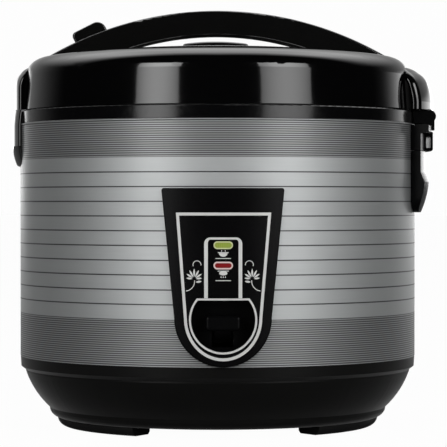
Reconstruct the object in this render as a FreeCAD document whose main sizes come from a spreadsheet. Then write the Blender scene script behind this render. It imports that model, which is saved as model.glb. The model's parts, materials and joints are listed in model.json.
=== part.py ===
import FreeCAD, Part
import math
import os
from types import SimpleNamespace

import Sketcher
from FreeCAD import Placement, Rotation, Vector

# A 1.8 litre domed-lid rice cooker, in millimetres.
# Z is up from the floor, the control panel faces -Y, the lid latches at -X and hinges at +X.
# Every piece is drawn about the axis of the pot. The finished pieces are then moved sideways
# together, so that the origin lies under the middle of the whole cooker.

doc = FreeCAD.newDocument("rice_cooker")
sheet = doc.addObject("Spreadsheet::Sheet", "Dims")

FULL_TURN = 360
ALONG_X = Rotation(Vector(0, 1, 0), 90)
ALONG_Y = Rotation(Vector(1, 0, 0), -90)
HALF_TURN = Rotation(Vector(0, 0, 1), 180)
ALONG_Z = Rotation()
H_AXIS = -1
V_AXIS = -2


class Size:
    """A dimension that carries its number together with the sheet formula behind it."""

    def __init__(self, value, text):
        self.value = float(value)
        self.text = text

    def __add__(self, other):
        other = as_size(other)
        return Size(self.value + other.value, f"({self.text} + {other.text})")

    def __sub__(self, other):
        other = as_size(other)
        return Size(self.value - other.value, f"({self.text} - {other.text})")

    def __mul__(self, other):
        other = as_size(other)
        return Size(self.value * other.value, f"({self.text} * {other.text})")

    def __truediv__(self, other):
        other = as_size(other)
        return Size(self.value / other.value, f"({self.text} / {other.text})")

    def __radd__(self, other):
        return as_size(other) + self

    def __rsub__(self, other):
        return as_size(other) - self

    def __rmul__(self, other):
        return as_size(other) * self

    def __neg__(self):
        return Size(-self.value, f"(0 - {self.text})")


def as_size(number):
    if isinstance(number, Size):
        return number
    return Size(number, f"({float(number):.6f})")


def sizes(group, **values):
    """Put a group of named dimensions into the sheet and hand them back as sizes."""
    made = SimpleNamespace()
    for name, value in values.items():
        sizes.row += 1
        alias = f"{group}_{name}"
        sheet.set(f"A{sizes.row}", alias)
        sheet.set(f"B{sizes.row}", str(value))
        sheet.setAlias(f"B{sizes.row}", alias)
        setattr(made, name, Size(value, f"Dims.{alias}"))
    return made


sizes.row = 0

whole = sizes("whole", sideways=3.55)
fit = sizes("fit", seat=0.05, snug=0.1)
shell = sizes("shell", radius=128, wall=0.6, foot=45.2, top=194.4, bead=0.5)
base = sizes(
    "base", opening=62, floor=5.6, wall=2.4, toe=103.5, bead=108.8, bead_z=9.7, bead_bend=7,
    waist=109.3, waist_z=12, flare=56, brow=124.5, brow_z=35.3, rim=127.5, rim_z=38.6, lip=5.5,
)
foot = sizes("foot", inner=83.6, outer=104, sole_in=85.4, sole_out=99.8, bend=6, span=52.6, inner_edge=1.8)
collar = sizes(
    "collar", radius=127.6, foot=194.5, top=202.3, deck=2.4, mouth=116, ledge_z=197, throat=112.2,
    skirt=8, edge=0.5,
)
liner = sizes("liner", inner=110.4, wall=0.8, floor=70.5, flange=115.6)
plate = sizes("plate", radius=84, foot=75, top=88, hole=19, bend=5)
pot = sizes("pot", inner=106, wall=1.6, rim=115, top=200, floor=88, corner=16)
sensor = sizes("sensor", radius=17, wall=1, top=87.7, skirt=72.5, gap=0.4, floor=69.9, flange=24)
ferrite = sizes("ferrite", radius=12, foot=83)
magnet = sizes("magnet", radius=11, foot=71, thick=3, rod=2.2)
lever = sizes(
    "lever", pivot_y=-60, pivot_z=59.5, width=10, thick=2, boss=3.4, bore=1.56, pin=1.5, bend_y=-92,
    front_y=-122, front_z=69, tail_y=4,
)
paddle = sizes("paddle", width=21.7, foot=66.8, top=76.4, back=-120.4, front=-128.6, bend=2.4)
panel = sizes(
    "panel", radius=131, top=152.4, half_top=36.8, half_low=29.2, round_z=74.6, bend=1, corner=1.5,
    dish=19.6, dish_z=73.6, dish_flat=85.4, dish_back=-117.6, wall=1.6, slot=13, slot_low=56.5,
    slot_high=71.6,
)
lens = sizes(
    "lens", width=11.6, height=4.6, warm_z=118.3, cook_z=106.2, front=131.7, back=-121, gap=0.3,
)
lid = sizes(
    "lid", foot=203.2, foot_radius=126.4, wall=2.4, side_z=225.2, side=124.7, shoulder=13,
    brow=113.3, brow_z=237, crown=900, top=244, well=67.7, well_y=-12, well_deep=14,
)
frame = sizes(
    "frame", foot=204.4, thick=2, radius=123.7, rim=10, lip=202.7, lip_in=121, lip_out=122.6,
)
seal = sizes("seal", inner=97, outer=111.5, foot=200.35)
tray = sizes("tray", radius=99, foot=201.6, thick=1)
handle = sizes(
    "handle", bend=216.6, top=267.5, reach=110.5, under=185, under_top=252.5, grip=61, width=32,
    wall=2.8, round=1.6, skin=2.4, low=226,
)
button = sizes(
    "button", x=-82, z=251.2, tilt=-27, length=22, width=24, proud=7, deep=2.5, gap=0.4, round=1.2,
    low_round=3, high_round=6, stem=5, stem_wide=8, stem_at=-6.5, stem_end=-14,
)
vent = sizes(
    "vent", y=52, bore=14, tube=16, seat=20, seat_z=243.4, cap=22.3, cap_z=243.9, top=251.7, crown=4,
    drop=1.2, shoulder=1.5, crown_bend=118,
)
latch = sizes(
    "latch", root=116, lid_r=132, lid_knee=217, lid_brow=128, lid_brow_z=227, lid_top=121.5,
    lid_top_z=231, lid_plan=65, lid_span=43.8, low_r=133.3, low_z=167, low_knee=180, low_chin=130.7,
    low_chin_z=168.7, low_top=202.8, low_plan=76.3, low_span=52, round=1.6,
)
hook = sizes(
    "hook", pivot_x=-118.5, pivot_z=219, boss=3, bore=1.06, pin=1, wide=12, shank_out=-121.9,
    shank_in=-119.95, nose=-118.35, nose_low=196.4, nose_high=199.55, arm_x=-76, pad_x=-86,
    pad_z=233.6, slot_out=-124.6, slot_in=-119.6, slot_wide=15, cheek=1.8, cheek_in=7.6,
)
hinge = sizes(
    "hinge", x=135.2, z=199, barrel=4, bore=2.05, pin=2, relief=4.7, lid_half=17.4, gap=0.4, ear=12,
    cap=2.5, root=116, cover_span=68.4, cover_r=140.4, cover_z=208, plan_x=56.4, round=4.5, wall=2.6,
    block_span=36, flange_r=139.8, flange_low=188, flange_top=193.5, plate_r=134.6, tab_r=139.8,
    tab_low=177, knee_r=137.8, knee_z=219, brow_r=131.3, brow_z=227, crest_r=120.5, crest_z=231,
    shelf=202.8, arm_in=118, arm_out=133, arm_top=216,
)
cup = sizes(
    "cup", span=36, back=128.6, top=176.6, neck_r=134.6, neck_z=163, lip_r=137.2, lip_z=157,
    foot_r=132, foot_z=137.5, wall=1.3, round=9, belly=60, tongue_in=130.6, tongue_out=132.2,
    tongue_low=169,
)
inlet = sizes(
    "inlet", half=19, low=11.5, high=37.5, face=119, heel=109, chin=3.4, inside=92, bore_half=15.5,
    bore_low=15, bore_high=34, socket_half=13.2, socket_low=17, socket_high=32, socket_deep=18, pin=1.9,
    pin_long=14, pin_pitch=7,
)
doc.recompute()

nodes = []
resting_x = {}


def bind(thing, path, size):
    thing.setExpression(path, as_size(size).text)


def spot(corner):
    return Vector(as_size(corner[0]).value, as_size(corner[1]).value, 0)


def curve_between(start, end, radius, side):
    """A circular arc from start to end whose centre lies left (+1) or right (-1) of the way."""
    way = end - start
    half = way.Length / 2
    left = Vector(-way.y, way.x, 0)
    left.normalize()
    centre = (start + end) / 2 + left * (side * math.sqrt(radius ** 2 - half ** 2))
    first, last = (start, end) if side > 0 else (end, start)
    angles = [math.atan2(p.y - centre.y, p.x - centre.x) for p in (first, last)]
    circle = Part.Circle(centre, Vector(0, 0, 1), radius)
    return Part.ArcOfCircle(circle, angles[0], angles[1])


def hold_point(sketch, edge, end, corner):
    """Fix one point of a sketch at its two sheet-driven distances from the origin."""
    for kind, axis, size in (("DistanceX", V_AXIS, corner[0]), ("DistanceY", H_AXIS, corner[1])):
        size = as_size(size)
        if abs(size.value) < 1e-9:
            sketch.addConstraint(Sketcher.Constraint("PointOnObject", edge, end, axis))
        elif size.value > 0:
            index = sketch.addConstraint(Sketcher.Constraint(kind, -1, 1, edge, end, size.value))
            bind(sketch, f"Constraints[{index}]", size)
        else:
            index = sketch.addConstraint(Sketcher.Constraint(kind, edge, end, -1, 1, -size.value))
            bind(sketch, f"Constraints[{index}]", -size)


def draw_loop(sketch, corners):
    """Draw a closed outline. A corner with four entries is reached along an arc (radius, side)."""
    ends = []
    count = len(corners)
    for place in range(count):
        here = corners[place]
        after = corners[(place + 1) % count]
        if len(after) == 4:
            radius = as_size(after[2])
            arc = curve_between(spot(here), spot(after), radius.value, after[3])
            edge = sketch.addGeometry(arc, False)
            ends.append((edge, 1, 2) if after[3] > 0 else (edge, 2, 1))
            index = sketch.addConstraint(Sketcher.Constraint("Radius", edge, radius.value))
            bind(sketch, f"Constraints[{index}]", radius)
        else:
            edge = sketch.addGeometry(Part.LineSegment(spot(here), spot(after)), False)
            ends.append((edge, 1, 2))
    for place in range(count):
        edge, begin, finish = ends[place]
        following, its_begin, _ = ends[(place + 1) % count]
        sketch.addConstraint(Sketcher.Constraint("Coincident", edge, finish, following, its_begin))
        hold_point(sketch, edge, begin, corners[place])


def draw_circle(sketch, centre, radius):
    radius = as_size(radius)
    edge = sketch.addGeometry(Part.Circle(spot(centre), Vector(0, 0, 1), radius.value), False)
    index = sketch.addConstraint(Sketcher.Constraint("Radius", edge, radius.value))
    bind(sketch, f"Constraints[{index}]", radius)
    hold_point(sketch, edge, 3, centre)


def start_body(name):
    return doc.addObject("PartDesign::Body", name)


def start_sketch(body, role):
    sketch = body.newObject("Sketcher::SketchObject", f"{body.Name}_outline")
    plane = [o for o in body.Origin.OriginFeatures if o.Role == role][0]
    sketch.AttachmentSupport = (plane, [""])
    sketch.MapMode = "FlatFace"
    return sketch


def turned(name, corners, span=None, heading=0):
    """A body turned about the pot's axis, whole or as a sector centred on a heading."""
    body = start_body(name)
    sketch = start_sketch(body, "XZ_Plane")
    draw_loop(sketch, corners)
    turn = body.newObject("PartDesign::Revolution", f"{name}_turn")
    turn.Profile = sketch
    turn.ReferenceAxis = (sketch, ["V_Axis"])
    turn.Angle = FULL_TURN
    if span is not None:
        turn.Midplane = True
        bind(turn, "Angle", span)
    body.Placement = Placement(Vector(), Rotation(Vector(0, 0, 1), heading))
    doc.recompute()
    return body


def across(name, role, corners, width, holes=()):
    """A body whose outline is drawn on a middle plane and thickened evenly to both sides."""
    body = start_body(name)
    sketch = start_sketch(body, role)
    draw_loop(sketch, corners)
    for centre, radius in holes:
        draw_circle(sketch, centre, radius)
    pad = body.newObject("PartDesign::Pad", f"{name}_pad")
    pad.Profile = sketch
    pad.SideType = "Symmetric"
    bind(pad, "Length", width)
    doc.recompute()
    return body


def soften(body, radius, chosen):
    """Round the edges of a body that the given test picks out."""
    tip = body.Tip
    names = [f"Edge{i + 1}" for i, edge in enumerate(tip.Shape.Edges) if chosen(edge)]
    rounding = body.newObject("PartDesign::Fillet", f"{body.Name}_round{len(body.Group)}")
    rounding.Base = (tip, names)
    bind(rounding, "Radius", radius)
    doc.recompute()
    return body


def rounded(name, stock, radius, chosen):
    """A primitive or boolean piece with the chosen edges rounded."""
    doc.recompute()
    softened = doc.addObject("Part::Fillet", name)
    softened.Base = stock
    amount = as_size(radius).value
    softened.Edges = [(i + 1, amount, amount) for i, edge in enumerate(stock.Shape.Edges) if chosen(edge)]
    doc.recompute()
    return softened


def place_at(thing, x, y, z, rotation=ALONG_Z):
    thing.Placement = Placement(Vector(), rotation)
    bind(thing, "Placement.Base.x", x)
    bind(thing, "Placement.Base.y", y)
    bind(thing, "Placement.Base.z", z)
    resting_x[thing.Name] = as_size(x)
    return thing


def block(name, x, y, z, rotation=ALONG_Z, at=None):
    """A rectangular block given by its low and high bounds along each axis."""
    box = doc.addObject("Part::Box", name)
    for side, (low, high) in (("Length", x), ("Width", y), ("Height", z)):
        bind(box, side, as_size(high) - low)
    if at is None:
        return place_at(box, x[0], y[0], z[0])
    corner = Vector(as_size(x[0]).value, as_size(y[0]).value, as_size(z[0]).value)
    turned_corner = rotation.multVec(corner)
    centre = [as_size(at[i]) + turned_corner[i] for i in range(3)]
    return place_at(box, centre[0], centre[1], centre[2], rotation)


def rod(name, at, radius, length, along=ALONG_Z):
    """A round bar that starts at a point and runs along one axis."""
    bar = doc.addObject("Part::Cylinder", name)
    bind(bar, "Radius", radius)
    bind(bar, "Height", length)
    return place_at(bar, at[0], at[1], at[2], along)


def merged(name, *pieces):
    joined = doc.addObject("Part::MultiFuse", name)
    joined.Shapes = list(pieces)
    doc.recompute()
    return joined


def carved(name, stock, *tools):
    """A piece with one or more tools taken away from it."""
    left = doc.addObject("Part::Cut", name)
    left.Base = stock
    left.Tool = tools[0] if len(tools) == 1 else merged(f"{name}_tools", *tools)
    doc.recompute()
    return left


def shared(name, first, second):
    both = doc.addObject("Part::Common", name)
    both.Base = first
    both.Tool = second
    doc.recompute()
    return both


def group(name, *pieces):
    """Separate identical solids that share one node."""
    together = doc.addObject("Part::Compound", name)
    together.Links = list(pieces)
    doc.recompute()
    return together


def finish(thing, label):
    """Name a finished piece and move it to its place in the shared frame."""
    thing.Label = label
    start = resting_x.get(thing.Name, as_size(0))
    bind(thing, "Placement.Base.x", start - whole.sideways)
    nodes.append(thing)
    return thing


def round_about(thing, count, radius, first, make):
    """Make one piece at each of several places evenly spaced round the axis."""
    made = []
    for step in range(count):
        angle = math.radians(first + step * FULL_TURN / count)
        made.append(make(f"{thing}_{step + 1}", radius * math.cos(angle), radius * math.sin(angle)))
    return made


def coil(name, radius, wire, low, pitch, turns):
    """A compression spring wound about the pot's axis, its wire drawn with eight flats."""
    body = start_body(name)
    sketch = start_sketch(body, "XZ_Plane")
    ways = [math.radians(22.5 + 45 * step) for step in range(8)]
    draw_loop(sketch, [(radius + wire * math.cos(a), low + wire * math.sin(a)) for a in ways])
    helix = body.newObject("PartDesign::AdditiveHelix", f"{name}_wire")
    helix.Profile = sketch
    helix.ReferenceAxis = (sketch, ["V_Axis"])
    helix.Mode = "pitch-turns-angle"
    helix.Pitch = pitch
    helix.Turns = turns
    doc.recompute()
    return body


def make_base():
    inner = base.floor + base.wall
    socket = shell.radius - shell.wall - fit.seat
    wall = turned("base_bowl", [
        (base.opening, base.floor),
        (base.toe, base.floor),
        (base.bead, base.bead_z, base.bead_bend, 1),
        (base.waist, base.waist_z),
        (base.brow, base.brow_z, base.flare, 1),
        (base.brow, base.brow_z + 1),
        (base.rim, base.rim_z),
        (shell.radius - fit.snug, shell.foot - fit.seat),
        (socket, shell.foot - fit.seat),
        (socket, shell.foot + base.lip),
        (socket - base.wall, shell.foot + base.lip),
        (base.rim - base.wall, base.rim_z + 0.6),
        (base.brow - base.wall, base.brow_z + 1),
        (base.waist - base.wall, base.waist_z + 1, base.flare - base.wall, -1),
        (base.toe - base.wall, inner),
        (base.opening, inner),
    ])
    hood = across("inlet_hood", "YZ_Plane", [
        (inlet.inside, inlet.low),
        (inlet.heel, inlet.low),
        (inlet.face, inlet.low + inlet.chin),
        (inlet.face, inlet.high),
        (inlet.inside, inlet.high),
    ], inlet.half * 2)
    alcove = block(
        "inlet_alcove", (-inlet.half, inlet.half), (inlet.face, inlet.face + 20), (inlet.low, inlet.high),
    )
    mouth = block(
        "inlet_mouth", (-inlet.bore_half, inlet.bore_half), (inlet.inside - 20, inlet.face + 20),
        (inlet.bore_low, inlet.bore_high),
    )
    finish(carved("base_moulding", merged("base_with_hood", wall, hood), mouth, alcove), "base_shell")

    corners = [
        (foot.sole_in, 0),
        (foot.sole_out, 0),
        (foot.outer, base.floor, foot.bend, 1),
        (foot.inner, base.floor),
        (foot.inner, foot.inner_edge),
    ]
    headings = {"foot_front_left": 212, "foot_front_right": 332, "foot_rear": 92}
    for label, heading in headings.items():
        finish(turned(label + "_pad", corners, foot.span, heading), label)

    disc = rod("bottom_disc", (0, 0, base.floor - 1.2), base.opening + 8, 1.2)
    slots = []
    for step in range(12):
        turn = Rotation(Vector(0, 0, 1), 30 * step)
        slots.append(block(f"air_slot_{step + 1}", (26, 48), (-2, 2), (-4, 4), turn, (0, 0, base.floor)))
    screw_holes = round_about(
        "screw_hole", 3, 66, 90, lambda n, x, y: rod(n, (x, y, base.floor - 3), 2.2, 4),
    )
    finish(carved("bottom_cover", disc, *slots, *screw_holes), "bottom_plate")

    def screw(name, x, y):
        head = rod(name + "_head", (x, y, base.floor - 2.6), 3.8, 1.4)
        shank = rod(name + "_shank", (x, y, base.floor - 1.3), 1.9, 1.3)
        slot = block(name + "_slot", (x - 3, x + 3), (y - 0.4, y + 0.4), (base.floor - 3, base.floor - 2))
        return carved(name, merged(name + "_blank", head, shank), slot)

    finish(group("bottom_screw_set", *round_about("bottom_screw", 3, 66, 90, screw)), "bottom_screws")

    half = inlet.bore_half - fit.snug
    insert = block(
        "inlet_insert", (-half, half), (inlet.inside + 4, inlet.face - 1),
        (inlet.bore_low + fit.snug, inlet.bore_high - fit.snug),
    )
    pin_start = inlet.face - 1 - inlet.socket_deep
    plug_room = block(
        "inlet_socket", (-inlet.socket_half, inlet.socket_half), (pin_start, inlet.face + 5),
        (inlet.socket_low, inlet.socket_high),
    )
    finish(carved("inlet_body", insert, plug_room), "power_inlet")
    middle = (inlet.socket_low + inlet.socket_high) / 2
    pins = []
    for step in (-1, 0, 1):
        at = (inlet.pin_pitch * step, pin_start, middle + (2.6 if step == 0 else -2))
        pins.append(rod(f"inlet_pin_{step + 2}", at, inlet.pin, inlet.pin_long, ALONG_Y))
    finish(group("inlet_pin_set", *pins), "inlet_pins")


def make_body():
    tube = turned("shell_tube", [
        (shell.radius - shell.wall, shell.foot),
        (shell.radius, shell.foot),
        (shell.radius, shell.top - 1.4),
        (shell.radius + shell.bead, shell.top - 0.9),
        (shell.radius + shell.bead, shell.top - 0.3),
        (shell.radius, shell.top),
        (shell.radius - shell.wall, shell.top),
    ])
    gap = 0.5
    ports = [
        rod("dish_port_round", (0, -150, panel.dish_z), panel.dish + panel.wall + gap, 60, ALONG_Y),
        pill("warm_port", lens.warm_z, lens.gap + 0.2, (-150, -100)),
        pill("cook_port", lens.cook_z, lens.gap + 0.2, (-150, -100)),
    ]
    finish(carved("shell_sheet", tube, *ports), "body_shell")

    under = collar.top - collar.deck
    socket = shell.radius - shell.wall - fit.seat
    ring = turned("collar_turned", [
        (collar.throat, collar.ledge_z - 9),
        (collar.throat + 1.8, collar.ledge_z - 9),
        (collar.throat + 1.8, collar.ledge_z - 2),
        (collar.mouth + 2, collar.ledge_z - 2),
        (collar.mouth + 2, under),
        (shell.radius - 4.6, under),
        (shell.radius - 4.6, collar.foot - collar.skirt),
        (socket, collar.foot - collar.skirt),
        (socket, collar.foot),
        (collar.radius, collar.foot),
        (collar.radius, collar.top - collar.edge),
        (collar.radius - collar.edge, collar.top, collar.edge, 1),
        (collar.mouth + 0.8, collar.top),
        (collar.mouth, collar.top - 0.8, 0.8, 1),
        (collar.mouth, collar.ledge_z),
        (collar.throat, collar.ledge_z),
    ])
    half = hook.slot_wide / 2
    tall = (collar.foot - 2, collar.top + 5)
    slot = block("hook_slot", (hook.slot_out, hook.slot_in), (-half, half), tall)
    finish(carved("collar_moulding", ring, slot), "collar_ring")

    flange = collar.ledge_z + liner.wall
    finish(carved("liner_drum", turned("liner_spun", [
        (plate.hole + 1, liner.floor),
        (liner.inner - 7, liner.floor),
        (liner.inner + liner.wall, liner.floor + 8, 8, 1),
        (liner.inner + liner.wall, collar.ledge_z),
        (liner.flange, collar.ledge_z),
        (liner.flange, flange),
        (liner.inner, flange),
        (liner.inner, liner.floor + 8),
        (liner.inner - 7, liner.floor + liner.wall, 7.4, -1),
        (plate.hole + 1, liner.floor + liner.wall),
    ]), rod("earth_hole", (60, -30, 60), 2, 20)), "inner_liner")

    near = liner.inner + liner.wall + fit.seat
    far = near + 0.85
    finish(turned("warming_band", [(near, 118), (far, 118), (far, 160), (near, 160)]), "side_heater")


def make_heater():
    finish(turned("heater_casting", [
        (plate.hole, plate.foot),
        (plate.radius - 6, plate.foot),
        (plate.radius, plate.foot + 6, 6, 1),
        (plate.radius, plate.top - plate.bend - 0.3),
        (plate.radius - plate.bend, plate.top - 0.3, plate.bend, 1),
        (plate.hole + 2, plate.top - 0.3),
        (plate.hole, plate.top - 2.3, 2, 1),
    ]), "heating_plate")

    def post(name, x, y):
        return rod(name, (x, y, liner.floor + liner.wall), 5, plate.foot - liner.floor - liner.wall)

    finish(group("post_set", *round_about("plate_post", 3, 62, 30, post)), "plate_posts")

    finish(turned("pot_spun", [
        (0, pot.floor),
        (pot.inner + pot.wall - pot.corner, pot.floor),
        (pot.inner + pot.wall, pot.floor + pot.corner, pot.corner, 1),
        (pot.inner + pot.wall, pot.top - pot.wall),
        (pot.rim - 0.8, pot.top - pot.wall),
        (pot.rim - 0.8, pot.top, 0.8, 1),
        (pot.inner + 1.2, pot.top),
        (pot.inner, pot.top - 1.2, 1.2, 1),
        (pot.inner, pot.floor + pot.corner),
        (pot.inner + pot.wall - pot.corner, pot.floor + pot.wall, pot.corner - pot.wall, -1),
        (0, pot.floor + pot.wall),
    ]), "inner_pot")

    roof = sensor.top - 1.2
    finish(turned("sensor_drawn", [
        (0, roof),
        (sensor.radius - sensor.wall, roof),
        (sensor.radius - sensor.wall, sensor.skirt),
        (sensor.radius, sensor.skirt),
        (sensor.radius, sensor.top - 1.5),
        (sensor.radius - 1.5, sensor.top, 1.5, 1),
        (0, sensor.top),
    ]), "sensor_cup")
    finish(rod("ferrite_disc", (0, 0, ferrite.foot), ferrite.radius, roof - ferrite.foot), "sensor_ferrite")
    inside = sensor.radius + sensor.gap
    finish(turned("guide_turned", [
        (3, sensor.floor),
        (inside + 0.8, sensor.floor),
        (inside + 0.8, liner.floor + liner.wall),
        (sensor.flange, liner.floor + liner.wall),
        (sensor.flange, liner.floor + liner.wall + 0.8),
        (inside + 0.8, liner.floor + liner.wall + 0.8),
        (inside + 0.8, 80),
        (inside, 80),
        (inside, sensor.floor + 0.8),
        (3, sensor.floor + 0.8),
    ]), "sensor_guide")
    finish(coil("sensor_coil", 14.5, 0.5, sensor.floor + 1.35, 3.6, 4), "sensor_spring")


def make_switch():
    top = lever.pivot_z + lever.thick / 2
    disc = rod("magnet_disc", (0, 0, magnet.foot), magnet.radius, magnet.thick)
    rod_low = top + 0.4
    stalk = rod("magnet_stalk", (0, 0, rod_low), magnet.rod, magnet.foot - rod_low)
    finish(merged("magnet_piece", disc, stalk), "magnet")

    low = lever.pivot_z - lever.thick / 2
    bar = across("lever_strip", "YZ_Plane", [
        (lever.front_y, lever.front_z - 1),
        (lever.bend_y, low),
        (lever.tail_y, low),
        (lever.tail_y, top),
        (lever.bend_y, top),
        (lever.front_y, lever.front_z + 1),
    ], lever.width)
    hub = rod("lever_hub", (-7.4, lever.pivot_y, lever.pivot_z), lever.boss, 14.8, ALONG_X)
    eye = rod("lever_eye", (-20, lever.pivot_y, lever.pivot_z), lever.bore, 40, ALONG_X)
    finish(carved("lever_piece", merged("lever_blank", bar, hub), eye), "cook_lever")

    half = paddle.width / 2
    stock = block(
        "paddle_stock", (-half, half), (paddle.front, paddle.back), (paddle.foot, paddle.top),
    )
    rear = paddle.back.value - 0.1
    knob = rounded("paddle_rounded", stock, paddle.bend, lambda e: e.CenterOfMass.y < rear)
    half = lever.width / 2 + fit.seat
    socket = block(
        "paddle_socket", (-half, half), (lever.front_y - fit.snug, -115),
        (lever.front_z - 1.9, lever.front_z + 1.1),
    )
    finish(carved("paddle_piece", knob, socket), "cook_paddle")

    ceiling = liner.floor
    deep = (lever.pivot_y - 6, lever.pivot_y + 6)
    left = block("bracket_cheek_1", (-9.5, -8), deep, (lever.pivot_z - 5, ceiling))
    right = block("bracket_cheek_2", (8, 9.5), deep, (lever.pivot_z - 5, ceiling))
    bridge = block("bracket_bridge", (-9.5, 9.5), deep, (ceiling - 1.5, ceiling))
    pin_eye = rod("bracket_eye", (-20, lever.pivot_y, lever.pivot_z), lever.pin, 40, ALONG_X)
    finish(carved("bracket_piece", merged("bracket_blank", bridge, left, right), pin_eye), "switch_bracket")
    finish(rod("pivot_bar", (-9.5, lever.pivot_y, lever.pivot_z), lever.pin, 19, ALONG_X), "lever_pin")

    case = block("switch_case", (9.5, 19.5), (-66, -46), (54, 66))
    nib = rod("switch_nib", (14.5, -51, 52.5), 1.5, 1.5)
    tongue = block("switch_tongue", (10.5, 18.5), (-46, -38), (62, 63))
    finish(merged("switch_piece", case, nib, tongue), "micro_switch")

    disc = rod("thermostat_can", (-45, 20, 61), 9, liner.floor - 61)
    tab = block("thermostat_tab_1", (-50, -49.2), (17, 23), (54, 61))
    second_tab = block("thermostat_tab_2", (-41, -40.2), (17, 23), (54, 61))
    finish(merged("thermostat_piece", disc, tab, second_tab), "warm_thermostat")
    tube = rod("fuse_tube", (32, 30, 67), 2.2, 16, ALONG_X)
    clip = block("fuse_clip", (36, 44), (26, 34), (67, liner.floor))
    finish(merged("fuse_piece", tube, clip), "thermal_fuse")
    block_body = block("terminal_body", (-22, 22), (70, 84), (8, 20))
    posts = [rod(f"terminal_post_{step + 2}", (14 * step, 77, 20), 2.6, 3) for step in (-1, 0, 1)]
    finish(merged("terminal_piece", block_body, *posts), "terminal_block")


def pill(name, height, gap, depth):
    """A lens-shaped bar with half-round ends that runs along Y through the panel."""
    radius = lens.height / 2 + gap
    half = lens.width / 2 - lens.height / 2
    length = as_size(depth[1]) - depth[0]
    left = rod(f"{name}_left", (-half, depth[0], height), radius, length, ALONG_Y)
    right = rod(f"{name}_right", (half, depth[0], height), radius, length, ALONG_Y)
    middle = block(f"{name}_middle", (-half, half), depth, (height - radius, height + radius))
    return merged(name, middle, left, right)


def dish_bar(name, grow, front, back):
    """A bar with the outline of the lever's recess: a circle with its top cut flat."""
    length = as_size(back) - front
    wheel = rod(f"{name}_round", (0, front, panel.dish_z), panel.dish + grow, length, ALONG_Y)
    keep = block(f"{name}_keep", (-60, 60), (front, back), (0, panel.dish_flat + grow))
    return shared(name, wheel, keep)


def make_panel():
    shield = start_body("panel_shield")
    sketch = start_sketch(shield, "XZ_Plane")
    draw_loop(sketch, [
        (panel.half_low, panel.round_z, panel.half_low, 1),
        (panel.half_top, panel.top - panel.corner),
        (panel.half_top - panel.corner, panel.top, panel.corner, 1),
        (-panel.half_top + panel.corner, panel.top),
        (-panel.half_top, panel.top - panel.corner, panel.corner, 1),
        (-panel.half_low, panel.round_z),
        (0, panel.round_z - panel.half_low, panel.half_low, 1),
    ])
    pad = shield.newObject("PartDesign::Pad", "panel_shield_pad")
    pad.Profile = sketch
    pad.Length = 150
    doc.recompute()
    seat = shell.radius + fit.seat
    skin = turned("panel_ring", [(seat, 20), (panel.radius, 20), (panel.radius, 170), (seat, 170)])
    face = shared("panel_face", shield, skin)

    def on_front(edge):
        far = [math.hypot(v.Point.x, v.Point.y) for v in edge.Vertexes]
        return all(abs(radius - panel.radius.value) < 0.01 for radius in far)

    face_rounded = rounded("panel_rounded", face, panel.bend, on_front)
    outside = dish_bar("dish_outside", panel.wall, -129, panel.dish_back + panel.wall)
    hollow = dish_bar("dish_hollow", 0, -150, panel.dish_back)
    slot = block(
        "lever_slot", (-panel.slot / 2, panel.slot / 2), (-125, -110), (panel.slot_low, panel.slot_high),
    )
    windows = [
        pill("warm_window", lens.warm_z, fit.seat, (-150, -100)),
        pill("cook_window", lens.cook_z, fit.seat, (-150, -100)),
    ]
    blank = merged("panel_blank", face_rounded, outside)
    finish(carved("panel_piece", blank, hollow, slot, *windows), "control_panel")

    glow = turned("lens_ring", [(100, 20), (lens.front, 20), (lens.front, 170), (100, 170)])
    for label, height in (("warm_lens", lens.warm_z), ("cook_lens", lens.cook_z)):
        bar = pill(f"{label}_bar", height, 0, (-150, lens.back))
        finish(shared(f"{label}_piece", bar, glow), label)

    board = block("lamp_plate", (-9, 9), (-117.5, -116), (100, 124))
    finish(board, "lamp_board")
    warm_lamp = rod("warm_lamp", (0, lens.back, lens.warm_z), 2, 3.5, ALONG_Y)
    cook_lamp = rod("cook_lamp", (0, lens.back, lens.cook_z), 2, 3.5, ALONG_Y)
    finish(group("lamp_pair", warm_lamp, cook_lamp), "indicator_lamps")


def lid_solid(name, inset):
    """The lid's outer form, or the same form drawn smaller by a wall, filled to below its edge."""
    low = lid.foot - (2 if inset.value > 0 else 0)
    return turned(name, [
        (0, low),
        (lid.foot_radius - inset, low),
        (lid.side - inset, lid.side_z),
        (lid.brow - inset * 0.3, lid.brow_z - inset, lid.shoulder - inset * 0.75, 1),
        (0, lid.top - inset, lid.crown - inset, 1),
    ])


def finger_well(name, grow):
    ball = doc.addObject("Part::Sphere", name)
    bind(ball, "Radius", lid.well + grow)
    return place_at(ball, 0, lid.well_y, lid.top - lid.well_deep + lid.well)


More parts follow.
